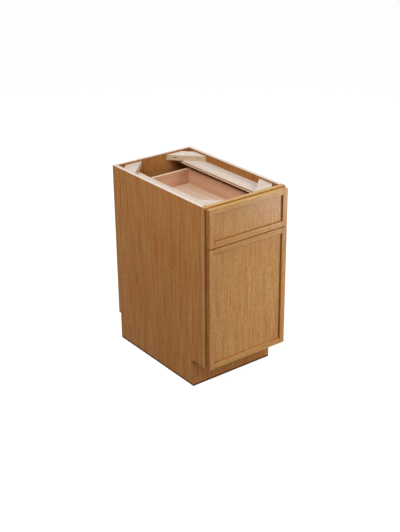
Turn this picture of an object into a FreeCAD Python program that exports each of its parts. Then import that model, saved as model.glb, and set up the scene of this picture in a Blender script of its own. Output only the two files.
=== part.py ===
"""Kitchen base cabinet: a face-frame box with one drawer over one door.

Millimetres. +X is to the right, +Y to the back, +Z up. The origin is on the floor, under the middle
of the cabinet. Every piece is a separate solid, and each one is written to its own file in parts.
"""
import FreeCAD, Part
import os
import re
import Sketcher
from FreeCAD import Placement, Rotation, Vector

# Driving dimensions, in the order in which the cabinet is put together
SIZES = {
    # Box
    "cabinet_width": 381.0,
    "cabinet_height": 762.0,
    "box_depth": 590.55,
    "side_thickness": 15.875,
    "back_thickness": 12.7,
    "deck_thickness": 12.7,
    "deck_dado": 6.35,
    "toe_height": 114.3,
    "toe_depth": 76.2,
    "toe_board_thickness": 12.7,
    # Face frame
    "frame_thickness": 19.05,
    "stile_width": 38.1,
    "top_rail_height": 38.1,
    "middle_rail_height": 25.4,
    "bottom_rail_height": 38.1,
    "tenon_length": 12.7,
    "tenon_thickness": 6.35,
    # Corner braces and drawer kickers
    "brace_leg": 114.3,
    "brace_clip": 38.1,
    "brace_thickness": 22.225,
    "brace_drop": 7.9375,
    "worktop_hole_inset": 34.0,
    "worktop_hole_radius": 2.5,
    "brace_screw_inset": 88.9,
    "brace_screw_seat": 12.0,
    "kicker_width": 66.675,
    "kicker_thickness": 12.7,
    # Shelf
    "shelf_depth": 304.8,
    "shelf_thickness": 19.05,
    "shelf_play": 1.5,
    "shelf_pin_radius": 2.5,
    "shelf_pin_reach": 8.0,
    "shelf_pin_collar_radius": 4.0,
    "shelf_pin_collar_play": 0.3,
    "pin_hole_depth": 10.0,
    "pin_hole_pitch": 32.0,
    "pin_hole_start": 274.0,
    "pin_column_inset": 50.0,
    # Drawer and door fronts
    "front_thickness": 19.05,
    "bumper_gap": 2.0,
    "side_reveal": 6.35,
    "top_reveal": 4.4,
    "front_gap": 3.2,
    "drawer_front_height": 149.7,
    "door_drop": 3.2,
    "member_width": 22.2,
    "recess_depth": 7.0,
    "tongue_depth": 6.0,
    "tongue_thickness": 6.0,
    "tongue_setback": 3.0,
    "bumper_radius": 4.0,
    "bumper_inset": 15.0,
    # Drawer box
    "drawer_back_room": 46.45,
    "drawer_height": 74.0,
    "drawer_lift": 3.0,
    "drawer_thickness": 12.7,
    "drawer_bottom_thickness": 6.35,
    "drawer_bottom_rise": 6.25,
    "drawer_groove": 6.0,
    "tail_wide": 16.0,
    "tail_narrow": 12.0,
    "drawer_screw_spread": 80.0,
    "drawer_screw_inset": 15.0,
    # Drawer slides
    "slide_thickness": 12.7,
    "slide_height": 45.7,
    "slide_setback": 2.0,
    "slide_back_room": 42.45,
    "slide_web": 1.2,
    "slide_web_gap": 1.4,
    "outer_lip_room": 3.5,
    "middle_lip_room": 2.3,
    "ball_radius": 1.6,
    "ball_clearance": 0.3,
    "ball_pitch": 24.0,
    "ball_inset": 40.0,
    "cleat_height": 63.5,
    "slide_screw_inset": 60.0,
    # Hinges
    "hinge_inset": 76.2,
    "hinge_axis_inset": 5.0,
    "hinge_axis_depth": 7.5,
    "cup_radius": 17.5,
    "cup_wall": 0.6,
    "cup_play": 0.05,
    "flange_thickness": 1.0,
    "flange_width": 16.0,
    "flange_length": 60.0,
    "cup_screw_spread": 22.5,
    "cup_screw_offset": 9.5,
    "cup_screw_length": 9.5,
    "hinge_pin_radius": 1.0,
    "hinge_pin_length": 16.0,
    "hinge_play": 0.05,
    "eye_wall": 0.65,
    "eye_side_room": 0.7,
    "eye_floor_room": 0.6,
    "arm_thickness": 1.2,
    "arm_height": 7.0,
    "plate_thickness": 1.5,
    "plate_height": 40.0,
    "plate_margin": 1.5,
    "plate_screw_spread": 13.0,
    # Screws
    "wood_screw_radius": 2.0,
    "wood_screw_head": 4.0,
    "fitting_screw_radius": 1.75,
    "fitting_screw_head": 3.5,
    "screw_bite": 12.0,
    "screw_side_cover": 7.0,
    "screw_point_cover": 3.0,
    "cleat_screw_margin": 6.0,
    "drill_clearance": 0.05,
    "back_screw_inset": 40.0,
}

# Counts of repeated features
PIN_HOLES_PER_COLUMN = 7
PIN_HOLES_BELOW_SHELF = 3
TAILS_PER_CORNER = 3
BALLS_PER_RACE = 5
SCREWS_PER_SLIDE = 3
BACK_SCREWS_PER_SIDE = 4

# Planes and levels that follow from the driving dimensions
PLACES = {
    "half_width": "cabinet_width / 2",
    "overall_depth": "box_depth + bumper_gap + front_thickness",
    "front_face": "-overall_depth / 2",
    "front_back": "front_face + front_thickness",
    "frame_face": "front_back + bumper_gap",
    "frame_back": "frame_face + frame_thickness",
    "back_face": "overall_depth / 2",
    "back_inside": "back_face - back_thickness",
    "side_inside": "half_width - side_thickness",
    "opening_half": "half_width - stile_width",
    "toe_face": "frame_face + toe_depth",
    "toe_back": "toe_face + toe_board_thickness",
    "deck_top": "toe_height + bottom_rail_height",
    "deck_under": "deck_top - deck_thickness",
    "side_length": "back_inside - frame_back",
    "kicker_top": "cabinet_height - brace_drop - brace_thickness",
    "kicker_inside": "side_inside - kicker_width",
    "brace_middle": "kicker_top + brace_thickness / 2",
    "drawer_front_top": "cabinet_height - top_reveal",
    "drawer_front_bottom": "drawer_front_top - drawer_front_height",
    "door_top": "drawer_front_bottom - front_gap",
    "door_bottom": "toe_height - door_drop",
    "front_half": "half_width - side_reveal",
    "panel_half": "front_half - member_width",
    "panel_face": "front_face + recess_depth",
    "tongue_face": "panel_face + tongue_setback",
    "tongue_back": "tongue_face + tongue_thickness",
    "tongue_half": "panel_half + tongue_depth",
    "bumper_x": "front_half - member_width / 2",
    "middle_rail_level": "drawer_front_bottom - front_gap / 2",
    "middle_rail_top": "middle_rail_level + middle_rail_height / 2",
    "middle_rail_under": "middle_rail_level - middle_rail_height / 2",
    "tenon_face": "frame_face + (frame_thickness - tenon_thickness) / 2",
    "tenon_half": "opening_half + tenon_length",
    "shelf_half": "side_inside - shelf_play",
    "shelf_pin_collar": "shelf_play - shelf_pin_collar_play",
    "shelf_under": f"pin_hole_start + {PIN_HOLES_BELOW_SHELF} * pin_hole_pitch + shelf_pin_radius",
    "shelf_front": "back_inside - shelf_depth",
    "pin_column_front": "shelf_front + pin_column_inset",
    "pin_column_back": "back_inside - pin_column_inset",
    "drawer_bottom_edge": "middle_rail_top + drawer_lift",
    "drawer_top_edge": "drawer_bottom_edge + drawer_height",
    "drawer_floor_under": "drawer_bottom_edge + drawer_bottom_rise",
    "drawer_floor": "drawer_floor_under + drawer_bottom_thickness",
    "drawer_half": "opening_half - slide_thickness",
    "drawer_inside": "drawer_half - drawer_thickness",
    "drawer_end": "back_inside - drawer_back_room",
    "drawer_length": "drawer_end - front_back",
    "slide_level": "drawer_bottom_edge + drawer_height / 2",
    "slide_front": "frame_face + slide_setback",
    "slide_end": "back_inside - slide_back_room",
    "slide_length": "slide_end - slide_front",
    "ball_room": "2 * (ball_radius + ball_clearance)",
    "outer_half": "slide_height / 2",
    "middle_half": "outer_half - slide_web - ball_room",
    "inner_half": "middle_half - slide_web - ball_room",
    "outer_web": "opening_half - slide_web",
    "outer_lip": "drawer_half + outer_lip_room",
    "middle_back": "outer_web - slide_web_gap",
    "middle_web": "middle_back - slide_web",
    "middle_lip": "drawer_half + middle_lip_room",
    "inner_web": "drawer_half + slide_web",
    "inner_lip": "middle_web - slide_web_gap",
    "outer_race": "outer_half - slide_web - ball_clearance - ball_radius",
    "inner_race": "middle_half - slide_web - ball_clearance - ball_radius",
    "outer_race_x": "(middle_back + outer_lip) / 2",
    "inner_race_x": "(inner_lip + middle_lip) / 2",
    "hinge_x": "-front_half + hinge_axis_inset",
    "hinge_y": "front_back - hinge_axis_depth",
    "upper_hinge": "door_top - hinge_inset",
    "lower_hinge": "door_bottom + hinge_inset",
    "eye_radius": "hinge_pin_radius + hinge_play + eye_wall",
    "cup_x": "hinge_x - eye_radius - eye_side_room - cup_wall + cup_radius",
    "cup_depth": "hinge_axis_depth + eye_radius + eye_floor_room + cup_wall",
    "cup_floor": "front_back - cup_depth",
    "cup_rim": "front_back + flange_thickness",
    "cup_screw_x": "cup_x + cup_screw_offset",
    "plate_face": "-opening_half + plate_thickness",
}

doc = FreeCAD.newDocument("kitchen_base_cabinet")
sheet = doc.addObject("Spreadsheet::Sheet", "sizes")
for row, (size_name, size_value) in enumerate(SIZES.items(), start=1):
    sheet.set(f"A{row}", size_name)
    sheet.set(f"B{row}", str(size_value))
    sheet.setAlias(f"B{row}", size_name)
doc.recompute()

nodes = []


def formula(text):
    """Write a formula out in full: places become their own formulas, and sizes become cells."""
    def spell(match):
        word = match.group()
        if word in PLACES:
            return f"({formula(PLACES[word])})"
        return f"sizes.{word}" if word in SIZES else word
    return re.sub(r"[a-z_]+", spell, text)


def bind(feature, settings):
    """Tie properties of a feature to formulas."""
    for setting, text in settings.items():
        feature.setExpression(setting, formula(text))


def place(feature, x, y, z):
    """Tie a feature's position to three formulas."""
    bind(feature, {"Placement.Base.x": x, "Placement.Base.y": y, "Placement.Base.z": z})


def board(name, x, y, z):
    """A square-edged board, from a low to a high formula along each axis."""
    box = doc.addObject("Part::Box", name)
    for setting, (low, high) in zip(("Length", "Width", "Height"), (x, y, z)):
        bind(box, {setting: f"({high}) - ({low})"})
    place(box, x[0], y[0], z[0])
    return box


DIRECTIONS = {
    "+x": Vector(1, 0, 0),
    "-x": Vector(-1, 0, 0),
    "+y": Vector(0, 1, 0),
    "-y": Vector(0, -1, 0),
    "+z": Vector(0, 0, 1),
}


def aim(feature, start, direction):
    """Stand a round feature at a start point, with its own axis along a direction."""
    feature.Placement = Placement(Vector(), Rotation(Vector(0, 0, 1), DIRECTIONS[direction]))
    place(feature, *start)


def rod(name, start, direction, length, radius):
    """A round rod from a start point along one direction."""
    cylinder = doc.addObject("Part::Cylinder", name)
    bind(cylinder, {"Radius": radius, "Height": length})
    aim(cylinder, start, direction)
    return cylinder


def taper(name, start, direction, wide, narrow, length):
    """A countersunk head: a cone that is wide at its start point."""
    cone = doc.addObject("Part::Cone", name)
    bind(cone, {"Radius1": wide, "Radius2": narrow, "Height": length})
    aim(cone, start, direction)
    return cone


def fuse(name, pieces):
    """One solid out of several that overlap."""
    union = doc.addObject("Part::MultiFuse", name)
    union.Shapes = pieces
    return union


def cut(name, blank, tools):
    """A blank less one or more tools."""
    result = doc.addObject("Part::Cut", name)
    result.Base = blank
    result.Tool = tools[0] if len(tools) == 1 else fuse(f"{name}_cutters", tools)
    return result


def node(label, feature):
    """Hand a finished feature in as a piece of the cabinet."""
    feature.Label = label
    nodes.append(feature)
    return feature


def group(label, pieces):
    """Hand several like solids in as one piece of the cabinet."""
    compound = doc.addObject("Part::Compound", label)
    compound.Links = pieces
    return node(label, compound)


def origin_plane(body, role):
    """One of a body's own origin planes."""
    return next(plane for plane in body.Origin.OriginFeatures if plane.Role == role)


def new_sketch(body, name, role):
    """An empty sketch on one of a body's origin planes."""
    sketch = body.newObject("Sketcher::SketchObject", name)
    sketch.AttachmentSupport = (origin_plane(body, role), [""])
    sketch.MapMode = "FlatFace"
    return sketch


def tie_point(sketch, geometry, end, across, up):
    """Hold a point of a sketch at two formulas, measured from the sketch's origin."""
    for kind, text in (("DistanceX", across), ("DistanceY", up)):
        full = formula(text)
        value = float(sketch.evalExpression(full))
        index = sketch.addConstraint(Sketcher.Constraint(kind, -1, 1, geometry, end, value))
        sketch.setExpression(f"Constraints[{index}]", full)


def outline(body, name, role, points):
    """A sketch of one closed outline with straight edges, each corner given by two formulas."""
    sketch = new_sketch(body, name, role)
    corners = [
        Vector(*(float(sketch.evalExpression(formula(text))) for text in point), 0) for point in points
    ]
    for start, end in zip(corners, corners[1:] + corners[:1]):
        sketch.addGeometry(Part.LineSegment(start, end))
    for index, point in enumerate(points):
        following = (index + 1) % len(points)
        sketch.addConstraint(Sketcher.Constraint("Coincident", index, 2, following, 1))
        tie_point(sketch, index, 1, *point)
    return sketch


def circles(body, name, role, centres, radius):
    """A sketch of equal circles, each centre given by two formulas."""
    sketch = new_sketch(body, name, role)
    full = formula(radius)
    for index, (across, up) in enumerate(centres):
        centre = Vector(*(float(sketch.evalExpression(formula(text))) for text in (across, up)), 0)
        sketch.addGeometry(Part.Circle(centre, Vector(0, 0, 1), float(sketch.evalExpression(full))))
        tie_point(sketch, index, 3, across, up)
        size = sketch.addConstraint(Sketcher.Constraint("Radius", index, float(sketch.evalExpression(full))))
        sketch.setExpression(f"Constraints[{size}]", full)
    return sketch


def pad(body, sketch, length):
    """Thicken a sketch to a solid along its plane's normal."""
    feature = body.newObject("PartDesign::Pad", f"{sketch.Name}_pad")
    feature.Profile = sketch
    bind(feature, {"Length": length})
    doc.recompute()
    return feature


def pocket(body, sketch, depth, along_normal=False):
    """Sink a sketch into a solid, against its plane's normal unless told otherwise."""
    before = body.Tip.Shape.Volume
    feature = body.newObject("PartDesign::Pocket", f"{sketch.Name}_pocket")
    feature.Profile = sketch
    feature.Reversed = along_normal
    bind(feature, {"Length": depth})
    doc.recompute()
    if feature.Shape.Volume >= before:
        raise ValueError(f"{feature.Name} cuts nothing")
    return feature


def screw(name, start, direction, length, kind, sunk=None):
    """A countersunk screw, and the drilled hole that it sits in.

    The start point is the middle of the head's outer face. A head sunk below a slanting surface has a
    wider seat drilled in front of it.
    """
    shank, head = f"{kind}_radius", f"{kind}_head"
    solid = fuse(name, [
        rod(f"{name}_shank", start, direction, length, shank),
        taper(f"{name}_head", start, direction, head, shank, f"{head} - {shank}"),
    ])
    wide, narrow = f"{head} + drill_clearance", f"{shank} + drill_clearance"
    cutters = [
        rod(f"{name}_pilot", start, direction, length, narrow),
        taper(f"{name}_sink", start, direction, wide, narrow, f"{head} - {shank}"),
    ]
    if sunk:
        opposite = ("-" if direction[0] == "+" else "+") + direction[1]
        cutters.append(rod(f"{name}_seat", start, opposite, sunk, wide))
    return solid, fuse(f"{name}_drill", cutters)


# Left and right: the sign of X on each side of the cabinet
SIDES = {"left": -1, "right": 1}


def span(sign, inner, outer):
    """The low and the high X of a piece on one side, from its distances to the middle of the cabinet."""
    return (inner, outer) if sign > 0 else (f"-({outer})", f"-({inner})")


def mirrored(sign, distance):
    """A distance from the middle of the cabinet, towards one side."""
    return f"{sign} * ({distance})"


def inward(sign):
    """The direction from one side of the cabinet towards its middle."""
    return "-x" if sign > 0 else "+x"


def outward(sign):
    """The direction from the middle of the cabinet towards one side."""
    return "+x" if sign > 0 else "-x"


# Screws that hold the box: back panel, braces and cleats
back_screws = {side: [] for side in SIDES}
for side, sign in SIDES.items():
    for count in range(BACK_SCREWS_PER_SIDE):
        run = f"(cabinet_height - toe_height - 2 * back_screw_inset) * {count} / {BACK_SCREWS_PER_SIDE - 1}"
        level = f"toe_height + back_screw_inset + {run}"
        back_screws[side].append(screw(
            f"{side}_back_screw_{count}",
            (mirrored(sign, "half_width - side_thickness / 2"), "back_face", level),
            "-y", "back_thickness + screw_bite", "wood_screw",
        ))

# Each corner of the box, anticlockwise from above: its side, the face of its wall, the wall's thickness
# and the way from the wall into the box along Y
CORNERS = {
    "front_left": ("left", "frame_back", "frame_thickness", 1),
    "front_right": ("right", "frame_back", "frame_thickness", 1),
    "rear_right": ("right", "back_inside", "back_thickness", -1),
    "rear_left": ("left", "back_inside", "back_thickness", -1),
}
brace_screws = {}
worktop_holes = {}
for corner, (side, wall, wall_thickness, into) in CORNERS.items():
    sign = SIDES[side]
    reach = "brace_leg - brace_screw_inset - brace_screw_seat"
    into_side = screw(
        f"{corner}_brace_side_screw",
        (mirrored(sign, f"side_inside - ({reach})"), f"{wall} + {into} * brace_screw_inset", "brace_middle"),
        outward(sign), f"{reach} + side_thickness - screw_side_cover", "wood_screw", "2 * brace_screw_seat",
    )
    into_wall = screw(
        f"{corner}_brace_wall_screw",
        (mirrored(sign, "side_inside - brace_screw_inset"), f"{wall} + {into} * ({reach})", "brace_middle"),
        "-y" if into > 0 else "+y", f"{reach} + {wall_thickness} / 2", "wood_screw", "2 * brace_screw_seat",
    )
    brace_screws[corner] = (into_side, into_wall)
    worktop_holes[corner] = rod(
        f"{corner}_worktop_hole",
        (mirrored(sign, "side_inside - worktop_hole_inset"), f"{wall} + {into} * worktop_hole_inset",
         "kicker_top - kicker_thickness"),
        "+z", "kicker_thickness + brace_thickness", "worktop_hole_radius",
    )


def along_slide(count):
    """How far along a slide one of its screws stands."""
    return f"slide_screw_inset + (slide_length - 2 * slide_screw_inset) * {count} / {SCREWS_PER_SLIDE - 1}"


cleat_screws = {}
slide_screws = {}
drawer_slide_screws = {}
for side, sign in SIDES.items():
    cleat_screws[side] = [screw(
        f"{side}_cleat_screw_{count}",
        (mirrored(sign, "opening_half"), f"slide_front + {along_slide(count)} + slide_screw_inset / 2",
         "slide_level + cleat_height / 2 - cleat_screw_margin"),
        outward(sign), "half_width - opening_half - screw_side_cover", "wood_screw",
    ) for count in range(SCREWS_PER_SLIDE)]
    slide_screws[side] = [screw(
        f"{side}_slide_screw_{count}",
        (mirrored(sign, "outer_web"), f"slide_front + {along_slide(count)}", "slide_level"),
        outward(sign), "side_inside - outer_web - screw_side_cover", "fitting_screw",
    ) for count in range(SCREWS_PER_SLIDE)]
    drawer_slide_screws[side] = [screw(
        f"{side}_drawer_slide_screw_{count}",
        (mirrored(sign, "inner_web"), f"slide_front + {along_slide(count)} + slide_screw_inset / 2",
         "slide_level"),
        inward(sign), "slide_web + drawer_thickness - screw_point_cover", "fitting_screw",
    ) for count in range(SCREWS_PER_SLIDE)]


def drills(*screws):
    """The drilled holes of some screws."""
    return [hole for solid, hole in screws]


def solids(*screws):
    """The screws themselves."""
    return [solid for solid, hole in screws]


# Box: bottom panel, sides, back and toe-kick board
bottom_panel = node("bottom_panel", board(
    "bottom_panel",
    ("-(side_inside + deck_dado)", "side_inside + deck_dado"),
    ("frame_back", "back_inside"),
    ("deck_under", "deck_top"),
))


def side_blank(side, sign):
    """A side panel cut to its outline, with two columns of shelf-pin holes in its inside face."""
    body = doc.addObject("PartDesign::Body", f"{side}_side_blank")
    place(body, span(sign, "side_inside", "half_width")[0], "frame_back", "0")
    profile = outline(body, f"{side}_side_profile", "YZ_Plane", [
        ("toe_back - frame_back", "0"),
        ("side_length", "0"),
        ("side_length", "cabinet_height"),
        ("0", "cabinet_height"),
        ("0", "toe_height"),
        ("toe_back - frame_back", "toe_height"),
    ])
    pad(body, profile, "side_thickness")
    columns = [
        (f"{column} - frame_back", "pin_hole_start") for column in ("pin_column_front", "pin_column_back")
    ]
    holes = circles(body, f"{side}_pin_holes", "YZ_Plane", columns, "shelf_pin_radius")
    if sign < 0:
        bind(holes, {"AttachmentOffset.Base.z": "side_thickness"})
    first = pocket(body, holes, "pin_hole_depth", along_normal=sign > 0)
    rows = body.newObject("PartDesign::LinearPattern", f"{side}_pin_rows")
    rows.Originals = [first]
    rows.Direction = (holes, ["V_Axis"])
    rows.Occurrences = PIN_HOLES_PER_COLUMN
    bind(rows, {"Length": f"pin_hole_pitch * {PIN_HOLES_PER_COLUMN - 1}"})
    body.Tip = rows
    doc.recompute()
    return body


for side, sign in SIDES.items():
    into_side = [brace_screws[corner][0] for corner in CORNERS if CORNERS[corner][0] == side]
    node(f"{side}_side_panel", cut(
        f"{side}_side_panel", side_blank(side, sign),
        [bottom_panel, *drills(*back_screws[side], *cleat_screws[side], *into_side)],
    ))

into_back = [brace_screws[corner][1] for corner in ("rear_left", "rear_right")]
node("back_panel", cut(
    "back_panel",
    board(
        "back_blank", ("-half_width", "half_width"), ("back_inside", "back_face"),
        ("toe_height", "cabinet_height"),
    ),
    drills(*back_screws["left"], *back_screws["right"], *into_back),
))
node("toe_kick_board", board(
    "toe_kick_board", ("-half_width", "half_width"), ("toe_face", "toe_back"), ("0", "toe_height"),
))

# Face frame: rails with stub tenons that seat in mortises in the stiles
RAILS = {
    "top": ("cabinet_height - top_rail_height", "cabinet_height"),
    "middle": ("middle_rail_under", "middle_rail_top"),
    "bottom": ("toe_height", "deck_top"),
}
tenons = []
for rail, (low, high) in RAILS.items():
    tenon = board(
        f"{rail}_rail_tenon",
        ("-tenon_half", "tenon_half"),
        ("tenon_face", "tenon_face + tenon_thickness"),
        (f"{low} + tenon_thickness", f"{high} - tenon_thickness"),
    )
    tenons.append(tenon)
    whole = fuse(f"{rail}_rail_whole", [
        board(
            f"{rail}_rail_blank", ("-opening_half", "opening_half"), ("frame_face", "frame_back"),
            (low, high),
        ),
        tenon,
    ])
    if rail == "top":
        into_rail = [brace_screws[corner][1] for corner in ("front_left", "front_right")]
        whole = cut("top_frame_rail", whole, drills(*into_rail))
    node(f"{rail}_frame_rail", whole)

HINGES = {"upper": "upper_hinge", "lower": "lower_hinge"}
arm_screws = {}
for hinge, level in HINGES.items():
    arm_screws[hinge] = [screw(
        f"{hinge}_arm_screw_{count}",
        ("plate_face", "frame_face + frame_thickness / 2", f"{level} + {way} * plate_screw_spread"),
        "-x", "plate_thickness + screw_bite", "fitting_screw",
    ) for count, way in enumerate((-1, 1))]

for side, sign in SIDES.items():
    blank = board(
        f"{side}_stile_blank", span(sign, "opening_half", "half_width"), ("frame_face", "frame_back"),
        ("toe_height", "cabinet_height"),
    )
    hinge_holes = drills(*arm_screws["upper"], *arm_screws["lower"]) if side == "left" else []
    node(f"{side}_frame_stile", cut(f"{side}_frame_stile", blank, [*tenons, *hinge_holes]))

# Drawer kickers, and the corner braces that lie on them
for side, sign in SIDES.items():
    blank = board(
        f"{side}_kicker_blank", span(sign, "kicker_inside", "side_inside"), ("frame_back", "back_inside"),
        ("kicker_top - kicker_thickness", "kicker_top"),
    )
    own_holes = [worktop_holes[corner] for corner in CORNERS if CORNERS[corner][0] == side]
    node(f"{side}_drawer_kicker", cut(f"{side}_drawer_kicker", blank, own_holes))

FULL_TURN = 360
for quarter, (corner, (side, wall, wall_thickness, into)) in enumerate(CORNERS.items()):
    body = doc.addObject("PartDesign::Body", f"{corner}_brace_blank")
    body.Placement = Placement(Vector(), Rotation(Vector(0, 0, 1), quarter * FULL_TURN / len(CORNERS)))
    place(body, mirrored(SIDES[side], "side_inside"), wall, "kicker_top")
    profile = outline(body, f"{corner}_brace_profile", "XY_Plane", [
        ("brace_clip", "0"),
        ("brace_leg", "0"),
        ("0", "brace_leg"),
        ("0", "brace_clip"),
    ])
    pad(body, profile, "brace_thickness")
    node(f"{corner}_brace", cut(
        f"{corner}_brace", body, [worktop_holes[corner], *drills(*brace_screws[corner])],
    ))

group("brace_screws", solids(*(one for pair in brace_screws.values() for one in pair)))
group("back_panel_screws", solids(*back_screws["left"], *back_screws["right"]))

# Adjustable shelf on four pins
node("adjustable_shelf", board(
    "adjustable_shelf", ("-shelf_half", "shelf_half"), ("shelf_front", "back_inside"),
    ("shelf_under", "shelf_under + shelf_thickness"),
))
shelf_pins = []
for side, sign in SIDES.items():
    for column in ("pin_column_front", "pin_column_back"):
        name = f"{side}_{column}_shelf_pin"
        level = "shelf_under - shelf_pin_radius"
        shelf_pins.append(fuse(name, [
            rod(f"{name}_stem", (mirrored(sign, "side_inside + pin_hole_depth"), column, level), inward(sign),
                "pin_hole_depth + shelf_pin_reach", "shelf_pin_radius"),
            rod(f"{name}_collar", (mirrored(sign, "side_inside"), column, level), inward(sign),
                "shelf_pin_collar", "shelf_pin_collar_radius"),
        ]))
group("shelf_pins", shelf_pins)

# Drawer box: dovetailed sides, front and back round a bottom that is let into a groove
drawer_bottom = node("drawer_bottom", board(
    "drawer_bottom",
    ("-(drawer_inside + drawer_groove)", "drawer_inside + drawer_groove"),
    ("front_back + drawer_thickness - drawer_groove", "drawer_end - drawer_thickness + drawer_groove"),
    ("drawer_floor_under", "drawer_floor"),
))


def tail_points(tip, base, order):
    """The corners of the dovetails at one end of a drawer side, in the given order up or down the end."""
    points = []
    for count in order:
        middle = f"drawer_height * {2 * count + 1} / {2 * TAILS_PER_CORNER}"
        way = 1 if order[0] < order[-1] else -1
        points += [
            (base, f"{middle} - {way} * tail_narrow / 2"),
            (tip, f"{middle} - {way} * tail_wide / 2"),
            (tip, f"{middle} + {way} * tail_wide / 2"),
            (base, f"{middle} + {way} * tail_narrow / 2"),
        ]
    return points


def drawer_side_blank(side, sign):
    """A drawer side cut to its outline, with dovetails at both ends."""
    body = doc.addObject("PartDesign::Body", f"drawer_{side}_side_blank")
    place(body, span(sign, "drawer_inside", "drawer_half")[0], "front_back", "drawer_bottom_edge")
    upwards = list(range(TAILS_PER_CORNER))
    back_base = "drawer_length - drawer_thickness"
    profile = outline(body, f"drawer_{side}_side_profile", "YZ_Plane", [
        ("drawer_thickness", "0"),
        (back_base, "0"),
        *tail_points("drawer_length", back_base, upwards),
        (back_base, "drawer_height"),
        ("drawer_thickness", "drawer_height"),
        *tail_points("0", "drawer_thickness", upwards[::-1]),
    ])
    pad(body, profile, "drawer_thickness")
    return body


front_screws = [screw(
    f"drawer_front_screw_{level}_{side}",
    (mirrored(sign, "drawer_screw_spread"), "front_back + drawer_thickness", height),
    "-y", "drawer_thickness + front_thickness - recess_depth - screw_point_cover", "fitting_screw",
) for level, height in (
    ("low", "drawer_floor + drawer_screw_inset"), ("high", "drawer_top_edge - drawer_screw_inset"),
) for side, sign in SIDES.items()]

side_blanks = {side: drawer_side_blank(side, sign) for side, sign in SIDES.items()}
for side, sign in SIDES.items():
    node(f"drawer_{side}_side", cut(
        f"drawer_{side}_side", side_blanks[side], [drawer_bottom, *drills(*drawer_slide_screws[side])],
    ))
BOX_ENDS = {
    "front": ("front_back", "front_back + drawer_thickness"),
    "back": ("drawer_end - drawer_thickness", "drawer_end"),
}
for end, depth in BOX_ENDS.items():
    blank = board(
        f"drawer_box_{end}_blank", ("-drawer_half", "drawer_half"), depth,
        ("drawer_bottom_edge", "drawer_top_edge"),
    )
    holes = drills(*front_screws) if end == "front" else []
    node(f"drawer_box_{end}", cut(
        f"drawer_box_{end}", blank, [*side_blanks.values(), drawer_bottom, *holes],
    ))
group("drawer_front_screws", solids(*front_screws))


# Ball-bearing slides: three nested channels on each side, with balls between their flanges
def channel(name, sign, whole, hollow, half):
    """A channel along the slide: a block less the hollow between its web and its flanges."""
    run = ("slide_front", "slide_end")
    inside = f"({half} - slide_web)"
    blank = board(
        f"{name}_blank", span(sign, *whole), run, (f"slide_level - {half}", f"slide_level + {half}"),
    )
    return cut(f"{name}_channel", blank, [board(
        f"{name}_hollow", span(sign, *hollow), run, (f"slide_level - {inside}", f"slide_level + {inside}"),
    )])


for side, sign in SIDES.items():
    cleat = board(
        f"{side}_cleat_blank", span(sign, "opening_half", "side_inside"), ("frame_back", "back_inside"),
        ("slide_level - cleat_height / 2", "slide_level + cleat_height / 2"),
    )
    node(f"{side}_slide_cleat", cut(
        f"{side}_slide_cleat", cleat, drills(*cleat_screws[side], *slide_screws[side]),
    ))
    outer = channel(
        f"{side}_outer", sign, ("outer_lip", "opening_half"), ("outer_lip", "outer_web"), "outer_half",
    )
    node(f"{side}_slide_outer_member", cut(f"{side}_slide_outer_member", outer, drills(*slide_screws[side])))
    node(f"{side}_slide_middle_member", channel(
        f"{side}_middle", sign, ("middle_lip", "middle_back"), ("middle_lip", "middle_web"), "middle_half",
    ))
    inner = channel(
        f"{side}_inner", sign, ("drawer_half", "inner_lip"), ("inner_web", "inner_lip"), "inner_half",
    )
    node(f"{side}_slide_inner_member", cut(
        f"{side}_slide_inner_member", inner, drills(*drawer_slide_screws[side]),
    ))

group("cleat_screws", solids(*cleat_screws["left"], *cleat_screws["right"]))
group("slide_outer_screws", solids(*slide_screws["left"], *slide_screws["right"]))
group("slide_inner_screws", solids(*drawer_slide_screws["left"], *drawer_slide_screws["right"]))


def race_balls(name, distance, height, first, way):
    """The balls of one race on both slides: a row above and a row below the middle of each slide."""
    balls = []
    for side, sign in SIDES.items():
        for row, up in (("upper", 1), ("lower", -1)):
            for count in range(BALLS_PER_RACE):
                ball = doc.addObject("Part::Sphere", f"{name}_{side}_{row}_{count}")
                bind(ball, {"Radius": "ball_radius"})
                place(ball, mirrored(sign, distance), f"{first} + {way} * {count} * ball_pitch",
                      f"slide_level + {up} * ({height})")
                balls.append(ball)
    return group(name, balls)


race_balls("outer_race_balls", "outer_race_x", "outer_race", "slide_end - ball_inset", -1)
race_balls("inner_race_balls", "inner_race_x", "inner_race", "slide_front + ball_inset", 1)

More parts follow.
